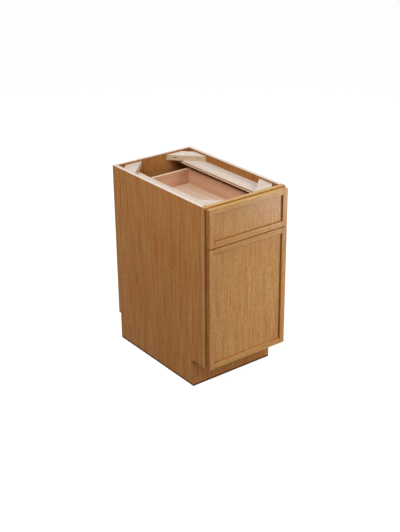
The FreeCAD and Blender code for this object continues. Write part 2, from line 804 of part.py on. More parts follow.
# Hinges: a cup let into the door, a pin across the cup and an arm that is screwed to the frame
cup_screws = {}
cup_bores = []
hinge_pins = []
for hinge, level in HINGES.items():
    cup_screws[hinge] = [screw(
        f"{hinge}_cup_screw_{count}",
        ("cup_screw_x", "cup_rim", f"{level} + {way} * cup_screw_spread"),
        "-y", "cup_screw_length", "fitting_screw",
    ) for count, way in enumerate((-1, 1))]
    middle = ("cup_x", "cup_floor", level)
    cup_bores.append(rod(f"{hinge}_cup_bore", middle, "+y", "cup_depth", "cup_radius + cup_play"))
    pin = rod(
        f"{hinge}_hinge_pin", ("hinge_x", "hinge_y", f"{level} - hinge_pin_length / 2"), "+z",
        "hinge_pin_length", "hinge_pin_radius",
    )
    hinge_pins.append(pin)
    shell = fuse(f"{hinge}_cup_shell", [
        rod(f"{hinge}_cup_wall", middle, "+y", "cup_depth + flange_thickness", "cup_radius"),
        board(
            f"{hinge}_cup_flange", ("cup_x", "cup_x + flange_width"), ("front_back", "cup_rim"),
            (f"{level} - flange_length / 2", f"{level} + flange_length / 2"),
        ),
    ])
    hollow = rod(
        f"{hinge}_cup_hollow", ("cup_x", "cup_floor + cup_wall", level), "+y",
        "cup_depth + flange_thickness", "cup_radius - cup_wall",
    )
    node(f"{hinge}_hinge_cup", cut(f"{hinge}_hinge_cup", shell, [hollow, pin, *drills(*cup_screws[hinge])]))

    low, high = f"{level} - arm_height / 2", f"{level} + arm_height / 2"
    leaf_face = "hinge_y - eye_radius"
    arm = fuse(f"{hinge}_arm_blank", [
        rod(f"{hinge}_arm_eye", ("hinge_x", "hinge_y", low), "+z", "arm_height", "eye_radius"),
        board(
            f"{hinge}_arm_leaf", ("hinge_x", "plate_face"), (leaf_face, f"{leaf_face} + arm_thickness"),
            (low, high),
        ),
        board(
            f"{hinge}_arm_neck", ("-opening_half", "plate_face"), (leaf_face, "frame_back - plate_margin"),
            (low, high),
        ),
        board(
            f"{hinge}_arm_plate", ("-opening_half", "plate_face"),
            ("frame_face + plate_margin", "frame_back - plate_margin"),
            (f"{level} - plate_height / 2", f"{level} + plate_height / 2"),
        ),
    ])
    eye_hole = rod(
        f"{hinge}_eye_hole", ("hinge_x", "hinge_y", f"{level} - hinge_pin_length / 2"), "+z",
        "hinge_pin_length", "hinge_pin_radius + hinge_play",
    )
    node(f"{hinge}_hinge_arm", cut(f"{hinge}_hinge_arm", arm, [eye_hole, *drills(*arm_screws[hinge])]))

group("hinge_pins", hinge_pins)
group("hinge_arm_screws", solids(*arm_screws["upper"], *arm_screws["lower"]))
group("hinge_cup_screws", solids(*cup_screws["upper"], *cup_screws["lower"]))


# Fronts: two stiles and two rails round a panel whose tongue sits in a groove in all four
def five_piece_front(front, low, high, panel_cutters, stile_cutters):
    """The five pieces of a door or a drawer front, from its low to its high level."""
    depth = ("front_face", "front_back")
    tongue_depth_span = ("tongue_face", "tongue_back")
    tongue = board(
        f"{front}_tongue", ("-tongue_half", "tongue_half"), tongue_depth_span,
        (f"{low} + member_width - tongue_depth", f"{high} - member_width + tongue_depth"),
    )
    stubs = []
    levels = {"top": (f"{high} - member_width", high), "bottom": (low, f"{low} + member_width")}
    for rail, level in levels.items():
        stub = board(f"{front}_{rail}_stub", ("-tongue_half", "tongue_half"), tongue_depth_span, level)
        stubs.append(stub)
        whole = fuse(f"{front}_{rail}_rail_whole", [
            board(f"{front}_{rail}_rail_blank", ("-panel_half", "panel_half"), depth, level), stub,
        ])
        node(f"{front}_{rail}_rail", cut(f"{front}_{rail}_rail", whole, [tongue]))
    for side, sign in SIDES.items():
        blank = board(
            f"{front}_{side}_stile_blank", span(sign, "panel_half", "front_half"), depth, (low, high),
        )
        node(f"{front}_{side}_stile", cut(
            f"{front}_{side}_stile", blank, [tongue, *stubs, *stile_cutters.get(side, [])],
        ))
    field = fuse(f"{front}_panel_whole", [
        board(
            f"{front}_field", ("-panel_half", "panel_half"), ("panel_face", "front_back"),
            (f"{low} + member_width", f"{high} - member_width"),
        ),
        tongue,
    ])
    node(f"{front}_panel", cut(f"{front}_panel", field, panel_cutters))


hinge_cutters = [*cup_bores, *drills(*cup_screws["upper"], *cup_screws["lower"])]
five_piece_front("drawer_front", "drawer_front_bottom", "drawer_front_top", drills(*front_screws), {})
five_piece_front("door", "door_bottom", "door_top", hinge_cutters, {"left": hinge_cutters})

# Rubber bumpers between the fronts and the frame
BUMPERS = {
    "door": (["right"], "toe_height", "door_top"),
    "drawer_front": (["left", "right"], "drawer_front_bottom", "drawer_front_top"),
}
for front, (bumper_sides, low, high) in BUMPERS.items():
    discs = [
        rod(f"{front}_bumper_{side}_{level}", (mirrored(SIDES[side], "bumper_x"), "front_back", height), "+y",
            "bumper_gap", "bumper_radius")
        for side in bumper_sides
        for level, height in (("low", f"{low} + bumper_inset"), ("high", f"{high} - bumper_inset"))
    ]
    group(f"{front}_bumpers", discs)

# Test every feature, then write each piece
doc.recompute()
for feature in doc.Objects:
    if {"Invalid", "Error"} & set(feature.State):
        raise ValueError(f"{feature.Name} failed: {feature.State}")
for piece in nodes:
    if piece.Shape.isNull() or not piece.Shape.isValid() or not piece.Shape.Solids:
        raise ValueError(f"{piece.Label} has no valid solid")

os.makedirs("parts", exist_ok=True)
for piece in nodes:
    piece.Shape.exportStep(f"parts/{piece.Label}.step")
print(len(nodes), "pieces written")
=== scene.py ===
import itertools
import math

import bmesh
import bpy
from mathutils import Matrix, Vector


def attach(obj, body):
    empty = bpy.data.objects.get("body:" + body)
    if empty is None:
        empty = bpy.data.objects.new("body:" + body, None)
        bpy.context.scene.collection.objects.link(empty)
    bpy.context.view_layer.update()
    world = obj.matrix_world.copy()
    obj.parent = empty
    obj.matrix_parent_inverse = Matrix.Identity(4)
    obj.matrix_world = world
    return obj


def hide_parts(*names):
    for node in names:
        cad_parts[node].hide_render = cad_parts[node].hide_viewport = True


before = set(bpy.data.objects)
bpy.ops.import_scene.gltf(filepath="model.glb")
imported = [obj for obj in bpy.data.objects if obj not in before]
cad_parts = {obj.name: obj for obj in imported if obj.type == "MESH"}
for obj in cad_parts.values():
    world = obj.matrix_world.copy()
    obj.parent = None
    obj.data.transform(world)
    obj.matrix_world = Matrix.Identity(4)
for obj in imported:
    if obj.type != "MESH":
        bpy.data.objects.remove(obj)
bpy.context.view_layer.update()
scene = bpy.context.scene
scene.view_settings.view_transform = "Standard"


# Side panels: two sheets of 16 mm plywood, cut away at the foot for the toe space. Both faces carry a
# straight-grained veneer, stained honey brown and lacquered, and the inner face takes a darker copy of the
# stain as painted shade. The sawn top edges stay raw and show the plies, and the arrises are only broken
# with sandpaper.
X, Y, Z = range(3)


def tone(red, green, blue):
    """A colour given in screen values, as the linear colour that a shader takes."""
    def linear(level):
        share = level / 255
        return share / 12.92 if share <= 0.04045 else ((share + 0.055) / 1.055) ** 2.4
    return (linear(red), linear(green), linear(blue), 1.0)


def put(tree, kind, sockets=None, **options):
    """Add a node, set its options, and give each named socket a value or the output of another node."""
    node = tree.nodes.new("ShaderNode" + kind)
    for option, value in options.items():
        setattr(node, option, value)
    for socket, value in (sockets or {}).items():
        target = node.inputs[socket]
        if isinstance(value, bpy.types.NodeSocket):
            tree.links.new(value, target)
        else:
            target.default_value = value
    return node


def maths(tree, operation, *values):
    """One sum, such as ADD or ROUND, on a value or two."""
    return put(tree, "Math", dict(enumerate(values)), operation=operation).outputs[0]


def remap(tree, value, low, high, to_low=0.0, to_high=1.0):
    """Stretch a range of values to another, and clip what lies outside."""
    limits = {"From Min": low, "From Max": high, "To Min": to_low, "To Max": to_high}
    return put(tree, "MapRange", {"Value": value, **limits}).outputs["Result"]


def mix(tree, share, base, top, blend="MIX"):
    """Lay one colour over another by a share."""
    sockets = {"Factor": share, 6: base, 7: top}
    return put(tree, "Mix", sockets, data_type="RGBA", blend_type=blend).outputs[2]


def spots(tree, place, across, along, detail=2.0, roughness=0.5):
    """A noise from 0 to 1, in spots of two sizes in metres: across the grain and along it."""
    split = put(tree, "SeparateXYZ", {0: place})
    sizes = (across, across, along)
    parts = {axis: maths(tree, "DIVIDE", split.outputs[axis], size) for axis, size in enumerate(sizes)}
    counted = put(tree, "CombineXYZ", parts).outputs[0]
    sockets = {"Vector": counted, "Scale": 1.0, "Detail": detail, "Roughness": roughness}
    return put(tree, "TexNoise", sockets).outputs["Fac"]


def new_group(name, inputs, outputs):
    """An empty shader group with named value or vector inputs and named value outputs."""
    tree = bpy.data.node_groups.new(name, "ShaderNodeTree")
    for label, kind in inputs.items():
        tree.interface.new_socket(label, in_out="INPUT", socket_type=f"NodeSocket{kind}")
    for label in outputs:
        tree.interface.new_socket(label, in_out="OUTPUT", socket_type="NodeSocketFloat")
    return tree, tree.nodes.new("NodeGroupInput"), tree.nodes.new("NodeGroupOutput")


SAWN = ("Bands", "Streaks", "Mottle", "Pores")


def new_sawn_grain():
    """The group of marks in sawn wood: bands, streaks, mottle and pores, which wander along the board."""
    tree, entry, result = new_group("sawn_grain", {
        "Place": "Vector", "Band Width": "Float", "Streak Width": "Float", "Streak Length": "Float",
        "Pore Length": "Float", "Waver": "Float", "Ripple": "Float",
    }, SAWN)
    given = entry.outputs

    def sway(across, along, reach):
        """A sideways wandering of the grain, as large as one of the group's inputs says."""
        swing = maths(tree, "SUBTRACT", spots(tree, given["Place"], across, along, detail=1.0), 0.5)
        return maths(tree, "MULTIPLY", swing, given[reach])

    drift = maths(tree, "ADD", sway(0.09, 0.45, "Waver"), sway(0.014, 0.03, "Ripple"))
    shift = put(tree, "CombineXYZ", {X: drift}).outputs[0]
    place = put(tree, "VectorMath", {0: given["Place"], 1: shift}, operation="ADD").outputs[0]
    fine_lines = spots(tree, place, 0.00055, given["Pore Length"], detail=1.0)
    marks = {
        "Bands": spots(tree, place, given["Band Width"], 1.6),
        "Streaks": spots(tree, place, given["Streak Width"], given["Streak Length"], 3.0, 0.6),
        "Mottle": spots(tree, place, 0.0042, 0.012, 2.0, 0.65),
        "Pores": remap(tree, fine_lines, 0.60, 0.72),
    }
    for label, value in marks.items():
        tree.links.new(value, result.inputs[label])
    return tree


sawn_grain = new_sawn_grain()


def new_material(name):
    """A material with its node tree and its shader."""
    material = bpy.data.materials.new(name)
    material.use_nodes = True
    return material, material.node_tree, material.node_tree.nodes["Principled BSDF"]


def board_place(tree):
    """Where each point lies in its own board: across, through and along."""
    return put(tree, "Attribute", attribute_name="board_place").outputs["Vector"]


def cabinet_place(tree):
    """Where each point lies in the closed cabinet."""
    return put(tree, "TexCoord").outputs["Object"]


def marked(tree, label):
    """How strongly a mesh is marked under a label."""
    return put(tree, "Attribute", attribute_name=label).outputs["Fac"]


def grain_of(tree, place, band_width, streak, pore_length, waver, ripple=0.0):
    """Set the sawn grain into a material, with this wood's own sizes. A streak has a width and a length."""
    sockets = {
        "Place": place, "Band Width": band_width, "Streak Width": streak[0], "Streak Length": streak[1],
        "Pore Length": pore_length, "Waver": waver, "Ripple": ripple,
    }
    use = put(tree, "Group", sockets, node_tree=sawn_grain)
    return [use.outputs[label] for label in SAWN]


def join(tree, shader, colour, roughness, relief, depth):
    """Lead the colour, roughness and relief of a surface to its shader."""
    tree.links.new(colour, shader.inputs["Base Color"])
    tree.links.new(roughness, shader.inputs["Roughness"])
    bump = put(tree, "Bump", {"Height": relief, "Strength": 0.5, "Distance": depth})
    tree.links.new(bump.outputs["Normal"], shader.inputs["Normal"])


# Painted shade at the foot: below these heights the stained wood turns dark brown, as the shadow where it
# meets the floor.
FOOT_DARK_TO, FOOT_FADES_AT = 0.0055, 0.009
FOOT_SHADE = (86, 36, 0)


def stained(name, light, deep, red, pore, smooth, rough, shine):
    """Stained and lacquered wood: tan and red-brown streaks, with short dark pores.

    The stain is darker on sawn ends. It is also darkened by painted shade: where a mesh is marked for it,
    and along the foot, in the place of the shadow where the cabinet meets the floor.
    """
    material, tree, shader = new_material(name)
    bands, streaks, mottle, pores = grain_of(
        tree, board_place(tree), band_width=0.055, streak=(0.0065, 0.19), pore_length=0.009, waver=0.012,
        ripple=0.005,
    )
    height_up = put(tree, "SeparateXYZ", {0: cabinet_place(tree)}).outputs[Z]
    foot = remap(tree, height_up, FOOT_DARK_TO, FOOT_FADES_AT, 1.0, 0.0)
    # Pores and sawn ends take more stain. Places marked for it are darkened as painted shade.
    darkened = ((pores, 0.4), (marked(tree, "end_grain"), 0.25), (marked(tree, "painted_shade"), 0.6))
    colour = mix(tree, remap(tree, bands, 0.3, 0.7), tone(*light), tone(*deep))
    colour = mix(tree, remap(tree, streaks, 0.42, 0.66, to_high=0.9), colour, tone(*red))
    colour = mix(tree, remap(tree, mottle, 0.42, 0.72, to_high=0.42), colour, tone(*pore))
    for marks, share in darkened:
        colour = mix(tree, maths(tree, "MULTIPLY", marks, share), colour, tone(*pore))
    # Painted shade along the foot.
    colour = mix(tree, foot, colour, tone(*FOOT_SHADE))
    roughness = remap(tree, maths(tree, "ADD", pores, mottle), 0.0, 1.6, smooth, rough)
    relief = maths(tree, "SUBTRACT", maths(tree, "MULTIPLY", mottle, 0.15), pores)
    join(tree, shader, colour, roughness, relief, depth=0.00012)
    shader.inputs["Specular IOR Level"].default_value = shine
    return material


stained_veneer = stained(
    "stained_veneer", light=(204, 150, 88), deep=(194, 136, 74), red=(186, 106, 54), pore=(120, 70, 36),
    smooth=0.46, rough=0.66, shine=0.06,
)
# Painted shade: a darker copy of the stained veneer for the faces inside the box.
inside_veneer_painted_shade = stained(
    "inside_veneer_painted_shade", light=(184, 134, 77), deep=(174, 121, 64), red=(166, 94, 46), pore=(106, 61, 30),
    smooth=0.46, rough=0.66, shine=0.06,
)


def plywood_edge(name, ply, middle, beside, torn):
    """The sawn edge of plywood: plies of two tones, dark glue lines, open fibres and some torn grain."""
    material, tree, shader = new_material(name)
    place = board_place(tree)
    plies = maths(tree, "DIVIDE", put(tree, "SeparateXYZ", {0: place}).outputs[Y], ply)
    nearest = maths(tree, "ROUND", plies)
    off_middle = maths(tree, "ABSOLUTE", maths(tree, "SUBTRACT", plies, nearest))
    fibres = spots(tree, place, 0.0009, 0.006, 3.0, 0.65)
    specks = spots(tree, place, 0.0016, 0.0028, 2.0, 0.6)
    open_fibre, torn_grain, glue = tone(186, 154, 128), tone(150, 114, 86), tone(140, 100, 72)
    colour = mix(tree, maths(tree, "PINGPONG", nearest, 1.0), tone(*middle), tone(*beside))
    colour = mix(tree, remap(tree, fibres, 0.4, 0.75, to_high=0.8 * torn), colour, open_fibre)
    colour = mix(tree, remap(tree, specks, 0.6, 0.75, to_high=torn), colour, torn_grain)
    colour = mix(tree, remap(tree, off_middle, 0.44, 0.49, to_high=0.4), colour, glue)
    join(tree, shader, colour, remap(tree, fibres, 0.2, 0.8, 0.62, 0.8), fibres, depth=0.0002)
    return material


panel_edge = plywood_edge(
    "panel_plywood_edge", ply=0.0021, middle=(224, 213, 205), beside=(212, 197, 186), torn=0.3,
)
SANDED_ARRIS = 0.0008


def cad_solid(node):
    """A copy of a node's solid to work on, with its flat faces made whole again."""
    weld, flat = 1e-6, math.radians(0.5)
    solid = bmesh.new()
    solid.from_mesh(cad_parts[node].data)
    bmesh.ops.remove_doubles(solid, verts=solid.verts, dist=weld)
    bmesh.ops.dissolve_limit(solid, angle_limit=flat, verts=solid.verts, edges=solid.edges)
    return solid


def break_arrises(solid, width):
    """Round the long outside edges a little. Short edges, such as those of drilled holes, stay."""
    shortest, sharp = 0.007, math.radians(30)
    arrises = [
        edge for edge in solid.edges
        if edge.is_manifold and edge.is_convex and edge.calc_length() > shortest
        and edge.calc_face_angle() > sharp
    ]
    bmesh.ops.bevel(
        solid, geom=arrises, offset=width, segments=2, profile=0.5, affect="EDGES", clamp_overlap=False,
    )


def mesh_of(solid, name):
    """The mesh of a solid that is fully worked."""
    mesh = bpy.data.meshes.new(name)
    solid.to_mesh(mesh)
    solid.free()
    return mesh


def extent(points):
    """The lowest and the highest corner of the box round some points."""
    low = [min(point[axis] for point in points) for axis in (X, Y, Z)]
    high = [max(point[axis] for point in points) for axis in (X, Y, Z)]
    return low, high


def halfway(low, high):
    """The point halfway between two corners."""
    return [(bottom + top) / 2 for bottom, top in zip(low, high)]


boards_cut = itertools.count(1)
APART_ACROSS, APART_ALONG = 0.73, 1.31
SQUARE_ON = 0.7


def mark_grain(mesh, along, through):
    """Mark where each point lies in its board, and which ends are sawn across the grain.

    Each board comes from its own part of the tree, so no two show the same grain.
    """
    number = next(boards_cut)
    across = ({X, Y, Z} - {along, through}).pop()
    corners = [vertex.co for vertex in mesh.vertices]
    middle = halfway(*extent(corners))
    place = mesh.attributes.new("board_place", "FLOAT_VECTOR", "POINT")
    for index, corner in enumerate(corners):
        place.data[index].vector = (
            corner[across] - middle[across] + APART_ACROSS * number,
            corner[through] - middle[through],
            corner[along] - middle[along] + APART_ALONG * number,
        )
    ends = mesh.attributes.new("end_grain", "FLOAT", "FACE")
    for face in mesh.polygons:
        ends.data[face.index].value = 1.0 if abs(face.normal[along]) > SQUARE_ON else 0.0


def shade_round(mesh, sharp_from=50):
    """Shade a mesh as round, apart from edges that turn by more than this many degrees."""
    mesh.shade_smooth()
    mesh.set_sharp_from_angle(angle=math.radians(sharp_from))


def add_piece(name, mesh, body, nodes):
    """Set a piece on its body, in place of the nodes that it stands for."""
    piece = bpy.data.objects.new(name, mesh)
    scene.collection.objects.link(piece)
    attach(piece, body)
    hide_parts(*nodes)
    return piece


def keep_flats(piece):
    """Let the flat faces beside rounded arrises stay flat in the light."""
    piece.modifiers.new("even_normals", "WEIGHTED_NORMAL").keep_sharp = True


FACE, EDGE, END, OTHER_FACE = range(4)


def board(node, body, along, through, finishes, arris=SANDED_ARRIS, solid=None, facing=0):
    """A board in its node's place, with its grain along one axis and its thickness through another.

    The finishes are those of its faces, edges and ends. A fourth one goes on the face that looks up or down
    the axis through the board, as the sign of facing says. A solid that is given is used as it is.
    """
    if solid is None:
        solid = cad_solid(node)
        break_arrises(solid, arris)
    mesh = mesh_of(solid, f"{node}_board")
    mark_grain(mesh, along, through)
    for finish in finishes:
        mesh.materials.append(finish)
    for face in mesh.polygons:
        on_face, on_end = (abs(face.normal[axis]) > SQUARE_ON for axis in (through, along))
        face.material_index = FACE if on_face else END if on_end else EDGE
        if facing * face.normal[through] > SQUARE_ON:
            face.material_index = OTHER_FACE
    shade_round(mesh)
    piece = add_piece(f"{node}_board", mesh, body, [node])
    keep_flats(piece)
    return piece


panel_finishes = (stained_veneer, stained_veneer, panel_edge, inside_veneer_painted_shade)
# The faces at the foot that look down take the stained face finish, so that the painted shade along the
# foot stays brown.
foot_height, looks_down = 0.002, -0.3
for side, inward in (("left", 1), ("right", -1)):
    panel = board(f"{side}_side_panel", "carcass", Z, X, panel_finishes, facing=inward)
    for face in panel.data.polygons:
        if face.normal.z < looks_down and face.center.z < foot_height:
            face.material_index = FACE


# Back panel: a 13 mm sheet of plywood, laid over the rear edges of the sides and screwed on. It is stained
# inside, with the darker painted shade of the inside faces, and left raw on the face toward the wall, and
# it ends above the toe space.
def new_peeled_rings():
    """The group of rings in peeled veneer: each is soft on one side and sharp on the other."""
    tree, entry, result = new_group("peeled_rings", {
        "Place": "Vector", "Ring Width": "Float", "Ring Length": "Float", "Rings Across": "Float",
    }, ("Rings",))
    given = entry.outputs
    hills = spots(tree, given["Place"], given["Ring Width"], given["Ring Length"], detail=1.0)
    past_ring = maths(tree, "FRACT", maths(tree, "MULTIPLY", hills, given["Rings Across"]))
    tree.links.new(remap(tree, past_ring, 0.35, 1.0), result.inputs["Rings"])
    return tree


peeled_rings = new_peeled_rings()
BROAD_RINGS = {"Ring Width": 0.16, "Ring Length": 0.9, "Rings Across": 16.0}


def peeled_veneer(
    name, light, deep, line, pore, ring_share, smooth=0.58, rough=0.74, ring_sizes=BROAD_RINGS,
):
    """The outer ply of plywood, peeled from the log: wavy rings with one sharp side, and short pores."""
    material, tree, shader = new_material(name)
    place = board_place(tree)
    bands, streaks, mottle, pores = grain_of(
        tree, place, band_width=0.04, streak=(0.010, 0.3), pore_length=0.006, waver=0.05,
    )
    rings = put(tree, "Group", {"Place": place, **ring_sizes}, node_tree=peeled_rings).outputs["Rings"]
    colour = mix(tree, remap(tree, bands, 0.3, 0.7), tone(*light), tone(*deep))
    colour = mix(tree, remap(tree, streaks, 0.45, 0.75, to_high=0.45), colour, tone(*line))
    colour = mix(tree, maths(tree, "MULTIPLY", rings, ring_share), colour, tone(*line))
    colour = mix(tree, maths(tree, "MULTIPLY", pores, 0.2), colour, tone(*pore))
    join(tree, shader, colour, remap(tree, mottle, 0.2, 0.8, smooth, rough), streaks, depth=0.00012)
    shader.inputs["Specular IOR Level"].default_value = 0.2
    return material


raw_back = peeled_veneer(
    "raw_back_veneer", light=(222, 196, 164), deep=(212, 180, 144), line=(178, 134, 94), pore=(140, 98, 66),
    ring_share=0.55,
)
back_finishes = (inside_veneer_painted_shade, stained_veneer, panel_edge, raw_back)
board("back_panel", "carcass", Z, Y, back_finishes, facing=1)


# Bottom panel: the floor of the cupboard, a sheet of 13 mm plywood let into grooves in the sides. It is
# stained and lacquered like the inside of the box, with its darker painted shade.
board("bottom_panel", "carcass", Y, Z, (inside_veneer_painted_shade, stained_veneer, panel_edge))


# Toe-kick board: a strip of stained veneered board, fixed over the front edges of the sides where they are
# cut away. Its grain is upright, and its upper part, up under the box, is darkened as painted shade.
def toe_board(node):
    """The board's solid, with a mark of painted shade on its upper part, under the box."""
    shade_ends_at, just_above, shade_share = 0.080, 0.001, 0.9
    solid = cad_solid(node)
    break_arrises(solid, SANDED_ARRIS)
    everything = [*solid.verts, *solid.edges, *solid.faces]
    bmesh.ops.bisect_plane(solid, geom=everything, plane_co=(0, 0, shade_ends_at), plane_no=(0, 0, 1))
    shade_mark = solid.verts.layers.float.new("painted_shade")
    for corner in solid.verts:
        corner[shade_mark] = shade_share if corner.co.z > shade_ends_at + just_above else 0.0
    return solid


veneer_all_round = (stained_veneer,) * 3
upright_toe_board = toe_board("toe_kick_board")
board("toe_kick_board", "carcass", Z, Y, veneer_all_round, solid=upright_toe_board)


# Face frame: solid hardwood stiles and rails, joined with stub tenons, sanded flush, then stained and
# lacquered as one. It is glued to the front edges of the sides. Its edges that face up are painted a
# paler, yellower tone: a painted highlight of the light from above.
stained_frame = stained(
    "stained_frame_wood", light=(208, 158, 96), deep=(198, 146, 84), red=(190, 120, 66), pore=(128, 82, 44),
    smooth=0.42, rough=0.60, shine=0.08,
)
# Painted highlight: a paler, yellower copy of the stain for edges that face up and down.
edge_highlight = stained(
    "top_edges_painted_highlight", light=(195, 158, 80), deep=(188, 147, 66), red=(174, 124, 50), pore=(140, 94, 40),
    smooth=0.40, rough=0.56, shine=0.10,
)
stile_finishes = (stained_frame, stained_frame, edge_highlight)
rail_finishes = (stained_frame, edge_highlight, stained_frame)
for side in ("left", "right"):
    board(f"{side}_frame_stile", "carcass", Z, Y, stile_finishes, arris=0.0010)
for rail in ("top", "middle", "bottom"):
    board(f"{rail}_frame_rail", "carcass", X, Y, rail_finishes, arris=0.0006)


# Corner braces: clipped triangles of raw 22 mm plywood that square the box. Each is screwed through its
# long edge into a side and into the frame or the back, and drilled for the worktop. All but the rear right
# one take a darker copy of the plywood, as painted shade.
CLEAN_SAWN_ARRIS = 0.0006
brace_face = peeled_veneer(
    "brace_plywood_face", light=(226, 214, 204), deep=(217, 202, 190), line=(199, 177, 157),
    pore=(158, 122, 96), ring_share=0.35,
)
# Painted shade: a darker copy of the brace plywood for the pieces that the left and front lamps light most.
shaded_ply = peeled_veneer(
    "plywood_face_painted_shade", light=(212, 198, 185), deep=(203, 187, 172), line=(186, 164, 142),
    pore=(148, 113, 86), ring_share=0.33,
)
brace_edge = plywood_edge(
    "brace_plywood_edge", ply=0.0027, middle=(222, 202, 174), beside=(190, 157, 122), torn=0.65,
)
for corner in ("front_left", "front_right", "rear_right", "rear_left"):
    sheet = brace_face if corner == "rear_right" else shaded_ply
    brace_finishes = (sheet, brace_edge, brace_edge)
    board(f"{corner}_brace", "carcass", X, Z, brace_finishes, arris=CLEAN_SAWN_ARRIS)


# Drawer kickers: two long strips of raw plywood under the braces, glued along the sides. They keep the
# open drawer from tipping. The left one takes the darker painted shade of most of the braces.
kicker_face = peeled_veneer(
    "kicker_plywood_face", light=(224, 212, 201), deep=(216, 201, 187), line=(196, 174, 155),
    pore=(150, 118, 94), ring_share=0.30,
)
kicker_edge = plywood_edge(
    "kicker_plywood_edge", ply=0.0043, middle=(158, 106, 64), beside=(246, 224, 198), torn=0.1,
)
for side, sheet in (("left", shaded_ply), ("right", kicker_face)):
    kicker_finishes = (sheet, kicker_edge, kicker_edge)
    board(f"{side}_drawer_kicker", "carcass", Y, Z, kicker_finishes, arris=CLEAN_SAWN_ARRIS)


# Slide cleats: plywood battens screwed to the sides, level with the frame's opening, that carry the slides.
# They are cut from offcuts of the stained panels.
for side in ("left", "right"):
    board(f"{side}_slide_cleat", "carcass", Y, X, veneer_all_round, arris=CLEAN_SAWN_ARRIS)


# Adjustable shelf: a half-depth board of stained plywood. It lies on four zinc-plated steel pins, which
# are pushed into the drilled rows of holes in the sides.
board("adjustable_shelf", "carcass", X, Z, veneer_all_round)


def plated(name, colour, smooth, rough, cloud):
    """Plated steel: fine drawn lines and a cloudy film."""
    material, tree, shader = new_material(name)
    place = cabinet_place(tree)
    lines = spots(tree, place, 0.0004, 0.02)
    film = spots(tree, place, cloud, cloud, 3.0, 0.6)
    dulled = tone(*(0.78 * part for part in colour))
    tint = mix(tree, remap(tree, film, 0.3, 0.7, to_high=0.35), tone(*colour), dulled)
    roughness = remap(tree, maths(tree, "ADD", lines, film), 0.6, 1.4, smooth, rough)
    join(tree, shader, tint, roughness, lines, depth=0.00002)
    shader.inputs["Metallic"].default_value = 1.0
    return material


def finish_node(node, material):
    """Give a node that keeps its own mesh its finish."""
    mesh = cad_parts[node].data
    mesh.materials.clear()
    mesh.materials.append(material)


zinc = plated("zinc_plate", (198, 200, 203), smooth=0.26, rough=0.44, cloud=0.006)
finish_node("shelf_pins", zinc)


# Screws of the box: zinc-plated wood screws with countersunk heads and a cross recess, in the braces,
# the cleats and the back panel. Those in the braces are painted a dark brownish grey, as painted shade in
# their pockets.
def loose_parts(node):
    """The corner points of each separate solid in a node."""
    solid = cad_solid(node)
    reached, parts = set(), []
    for start in solid.verts:
        if start in reached:
            continue
        reached.add(start)
        part = [start]
        for vertex in part:
            near = [edge.other_vert(vertex) for edge in vertex.link_edges]
            part += [other for other in near if other not in reached]
            reached.update(near)
        parts.append([vertex.co.copy() for vertex in part])
    solid.free()
    return parts


def ring(solid, radius_at, level, count):
    """A ring of points round an axis. The radius may change with the share of a turn."""
    points = []
    for step in range(count):
        turn = step / count
        radius = radius_at(turn)
        angle = math.tau * turn
        points.append(solid.verts.new((radius * math.cos(angle), radius * math.sin(angle), level)))
    return points


def even(radius):
    """The same radius all round."""
    return lambda turn: radius


def bridge(solid, upper, lower):
    """Faces between two rings."""
    for index, first in enumerate(upper):
        following = (index + 1) % len(upper)
        solid.faces.new((first, lower[index], lower[following], upper[following]))


def cut_recess(solid, rim_of_head, head):
    """The head's outer face with its cross recess, which narrows toward its floor."""
    arm, half, floor_share = 0.52 * head, 0.11 * head, 0.55
    outline = [
        (arm, -half), (arm, half), (half, half), (half, arm), (-half, arm), (-half, half),
        (-arm, half), (-arm, -half), (-half, -half), (-half, -arm), (half, -arm), (half, -half),
    ]
    rim = [solid.verts.new((x, y, 0.0)) for x, y in outline]
    floor = [solid.verts.new((floor_share * x, floor_share * y, -floor_share * head)) for x, y in outline]
    inner = [solid.edges.new((rim[step - 1], point)) for step, point in enumerate(rim)]
    outer = [solid.edges.get((rim_of_head[step - 1], point)) for step, point in enumerate(rim_of_head)]
    bmesh.ops.triangle_fill(solid, use_beauty=True, edges=inner + outer)
    bridge(solid, rim, floor)
    solid.faces.new(floor)


def screw_mesh(length, head, shank):
    """A countersunk screw with its head's outer face at level 0: cross recess, neck, thread and point."""
    around, rings_in_pitch = 16, 6
    rim, rim_depth, head_depth = 0.96 * head, 0.08 * head, head - shank
    neck, neck_depth, thread_depth = 0.86 * shank, head_depth + 0.1 * shank, head_depth + 0.8 * shank
    pitch, core, tip, point = 1.1 * shank, 0.72 * shank, 2.5 * shank, 0.12 * shank

    def thread(level):
        """The radius at one level, which rises from the core to the crest once in a turn."""
        def radius(turn):
            past_root = (turn + level / pitch) % 1.0
            return core + (shank - core) * max(0.0, 1.0 - 4.0 * abs(past_root - 0.5))
        return radius

    solid = bmesh.new()
    rings = [
        ring(solid, even(rim), 0.0, around),
        ring(solid, even(head), -rim_depth, around),
        ring(solid, even(neck), -neck_depth, around),
    ]
    level = -thread_depth
    while level > -length + tip:
        rings.append(ring(solid, thread(level), level, around))
        level -= pitch / rings_in_pitch
    rings.append(ring(solid, even(point), -length, around))
    for upper, lower in zip(rings, rings[1:]):
        bridge(solid, upper, lower)
    solid.faces.new(rings[-1])
    cut_recess(solid, rings[0], head)
    bmesh.ops.recalc_face_normals(solid, faces=solid.faces)
    return mesh_of(solid, "screw")


def standing(place, outward):
    """The placing of a round piece that stands at a place and points outward."""
    return Matrix.Translation(place) @ outward.to_track_quat("Z", "Y").to_matrix().to_4x4()


def radius_at_end(points, axis, level):
    """The radius of a round solid where its axis has this level."""
    close = 1e-5
    centre = halfway(*extent(points))
    centre[axis] = level
    return max(math.dist(point, centre) for point in points if abs(point[axis] - level) < close)


